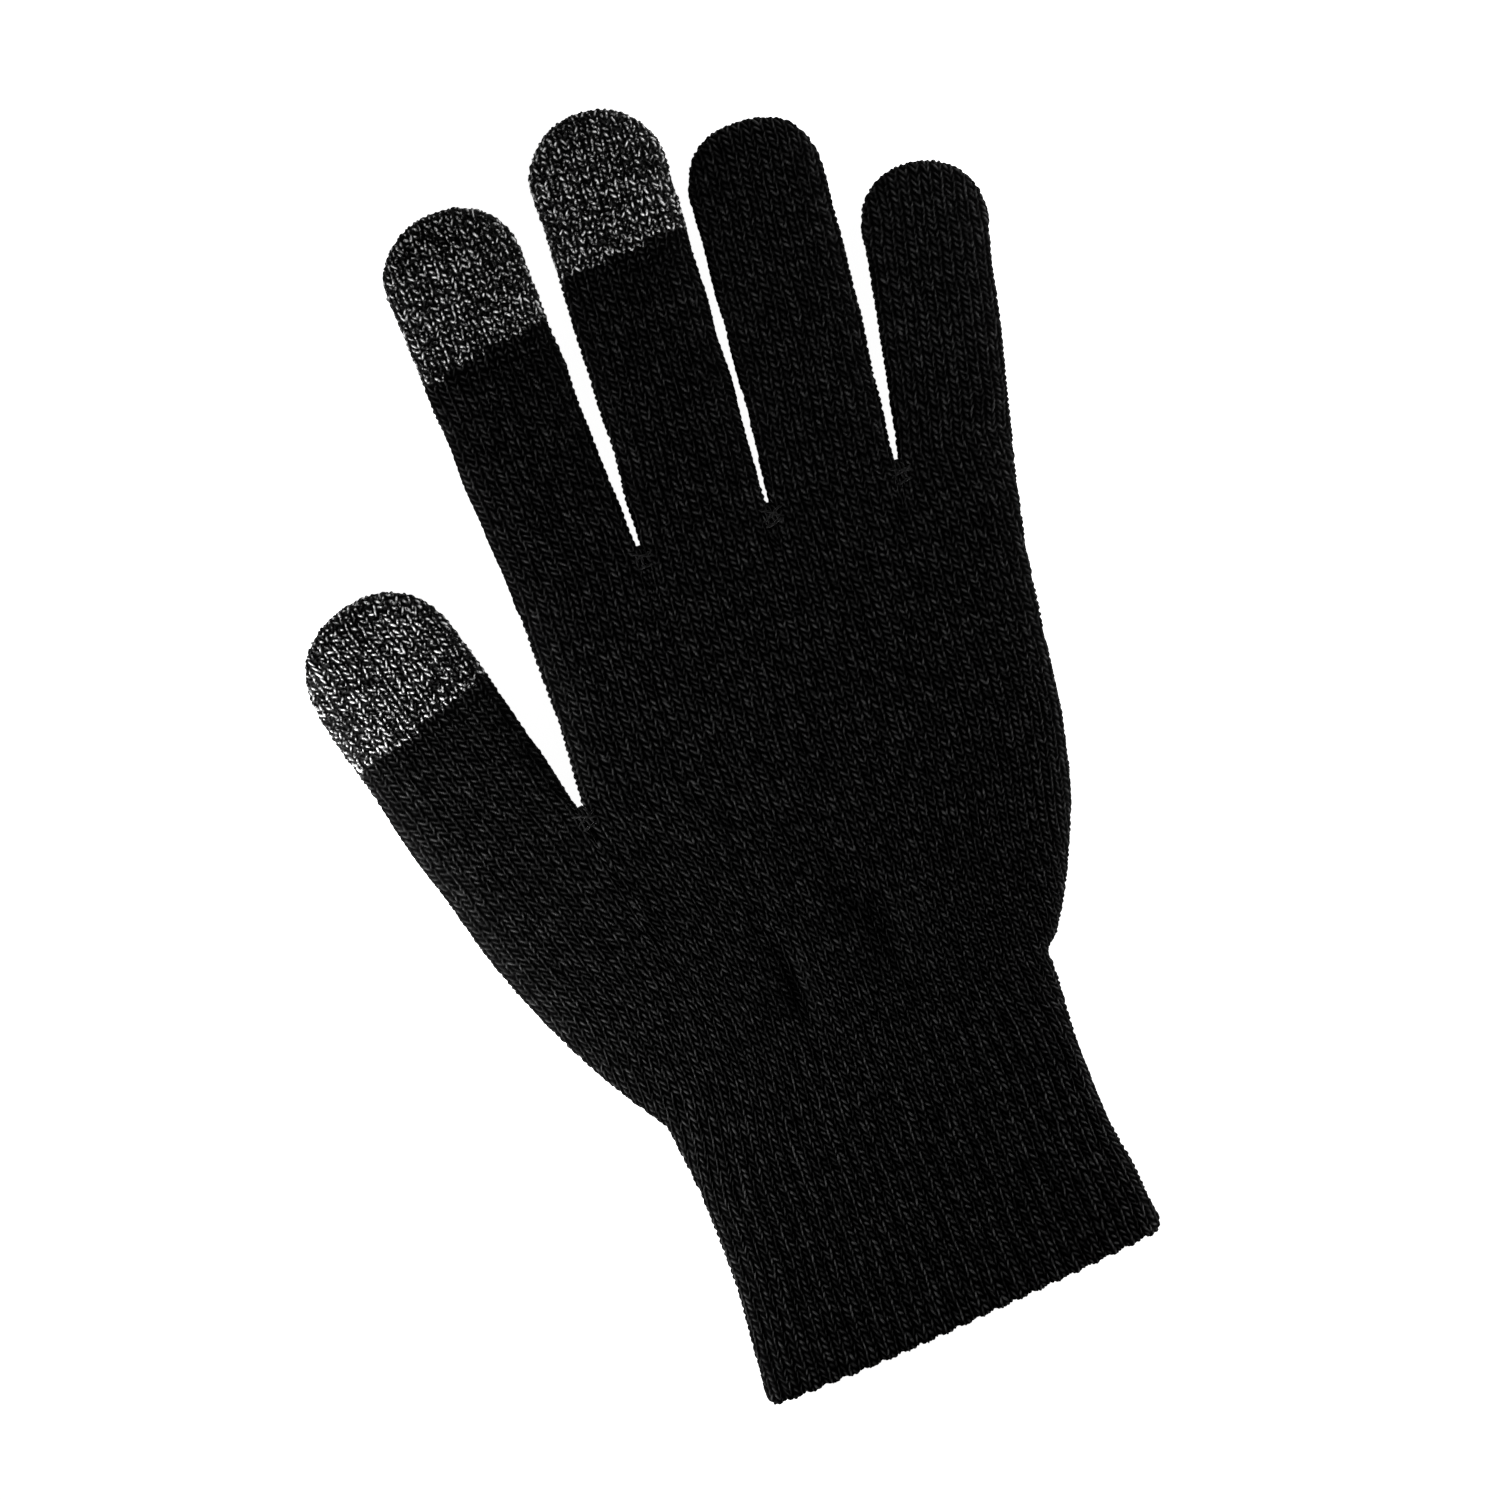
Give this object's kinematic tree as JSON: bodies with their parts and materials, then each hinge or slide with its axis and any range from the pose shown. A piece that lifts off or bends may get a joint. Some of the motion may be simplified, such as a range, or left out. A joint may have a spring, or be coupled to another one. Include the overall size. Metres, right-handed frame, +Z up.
{
  "type": "touchscreen glove",
  "caption": "Stretch knit glove with conductive thumb, index and middle fingertips for use on a touchscreen, and a ribbed elastic cuff",
  "frame": {"origin": "centre of the glove's box, on the surface it lies on", "axes": "+Z up out of the palm side, +Y along the palm towards the fingers, +X across the palm away from the thumb"},
  "size_m": [0.1418, 0.2284, 0.008],
  "materials": {
    "black_knit": "plain knitted stretch yarn, matte with short fibres",
    "conductive_knit": "grey marl knit, dark yarn twisted with light conductive yarn",
    "darning_yarn": "same yarn, sewn by hand or machine",
    "elastic_thread": "covered elastic thread"
  },
  "bodies": {
    "palm": {"palm_upper": "black_knit", "palm_lower": "black_knit", "darn_index_middle": "darning_yarn", "darn_middle_ring": "darning_yarn", "darn_ring_little": "darning_yarn", "darn_thumb_palm": "darning_yarn"},
    "cuff": {"cuff": "black_knit", "cuff_elastic": "elastic_thread", "cuff_welt": "black_knit"},
    "index_base": {"index_base": "black_knit"},
    "index_mid": {"index_mid": "black_knit"},
    "index_tip": {"index_touch_tip": "conductive_knit", "index_tip_knot": "darning_yarn"},
    "middle_base": {"middle_base": "black_knit"},
    "middle_mid": {"middle_mid": "black_knit"},
    "middle_tip": {"middle_touch_tip": "conductive_knit", "middle_tip_knot": "darning_yarn"},
    "ring_base": {"ring_base": "black_knit"},
    "ring_mid": {"ring_mid": "black_knit"},
    "ring_tip": {"ring_tip": "black_knit", "ring_tip_knot": "darning_yarn"},
    "little_base": {"little_base": "black_knit"},
    "little_mid": {"little_mid": "black_knit"},
    "little_tip": {"little_tip": "black_knit", "little_tip_knot": "darning_yarn"},
    "thumb_base": {"thumb_base": "black_knit"},
    "thumb_tip": {"thumb_touch_tip": "conductive_knit", "thumb_tip_knot": "darning_yarn"}
  },
  "joints": [
    {"name": "wrist_bend", "type": "hinge", "parent": "palm", "child": "cuff", "pos_m": [0.00243, -0.05725, 0.004], "axis": [0.9935, 0.1142, 0], "range_deg": [-40, 40]},
    {"name": "index_knuckle", "type": "hinge", "parent": "palm", "child": "index_base", "pos_m": [-0.01937, 0.03735, 0.008], "axis": [1, 0, 0], "range_deg": [0, 80]},
    {"name": "index_middle_joint", "type": "hinge", "parent": "index_base", "child": "index_mid", "pos_m": [-0.02056, 0.05785, 0.008], "axis": [1, 0, 0], "range_deg": [0, 90]},
    {"name": "index_end_joint", "type": "hinge", "parent": "index_mid", "child": "index_tip", "pos_m": [-0.02175, 0.07855, 0.008], "axis": [1, 0, 0], "range_deg": [0, 54]},
    {"name": "middle_knuckle", "type": "hinge", "parent": "palm", "child": "middle_base", "pos_m": [0.00503, 0.03735, 0.008], "axis": [1, 0, 0], "range_deg": [0, 80]},
    {"name": "middle_middle_joint", "type": "hinge", "parent": "middle_base", "child": "middle_mid", "pos_m": [0.00578, 0.06285, 0.008], "axis": [1, 0, 0], "range_deg": [0, 90]},
    {"name": "middle_end_joint", "type": "hinge", "parent": "middle_mid", "child": "middle_tip", "pos_m": [0.00651, 0.08735, 0.008], "axis": [1, 0, 0], "range_deg": [0, 54]},
    {"name": "ring_knuckle", "type": "hinge", "parent": "palm", "child": "ring_base", "pos_m": [0.02943, 0.03735, 0.008], "axis": [1, 0, 0], "range_deg": [0, 80]},
    {"name": "ring_middle_joint", "type": "hinge", "parent": "ring_base", "child": "ring_mid", "pos_m": [0.03096, 0.05985, 0.008], "axis": [1, 0, 0], "range_deg": [0, 90]},
    {"name": "ring_end_joint", "type": "hinge", "parent": "ring_mid", "child": "ring_tip", "pos_m": [0.03239, 0.08085, 0.008], "axis": [1, 0, 0], "range_deg": [0, 54]},
    {"name": "little_knuckle", "type": "hinge", "parent": "palm", "child": "little_base", "pos_m": [0.05223, 0.03735, 0.008], "axis": [1, 0, 0], "range_deg": [0, 80]},
    {"name": "little_middle_joint", "type": "hinge", "parent": "little_base", "child": "little_mid", "pos_m": [0.05531, 0.05385, 0.008], "axis": [1, 0, 0], "range_deg": [0, 90]},
    {"name": "little_end_joint", "type": "hinge", "parent": "little_mid", "child": "little_tip", "pos_m": [0.05812, 0.06885, 0.008], "axis": [1, 0, 0], "range_deg": [0, 54]},
    {"name": "thumb_root", "type": "hinge", "parent": "palm", "child": "thumb_base", "pos_m": [-0.0455, -0.00725, 0.008], "axis": [0.9613, 0.2756, 0], "range_deg": [0, 30]},
    {"name": "thumb_joint", "type": "hinge", "parent": "thumb_base", "child": "thumb_tip", "pos_m": [-0.0531, 0.01928, 0.008], "axis": [0.9613, 0.2756, 0], "range_deg": [0, 70]}
  ],
  "couplings": [
    {"joint": "index_end_joint", "follows": "index_middle_joint", "ratio": 0.6},
    {"joint": "middle_end_joint", "follows": "middle_middle_joint", "ratio": 0.6},
    {"joint": "ring_end_joint", "follows": "ring_middle_joint", "ratio": 0.6},
    {"joint": "little_end_joint", "follows": "little_middle_joint", "ratio": 0.6}
  ]
}
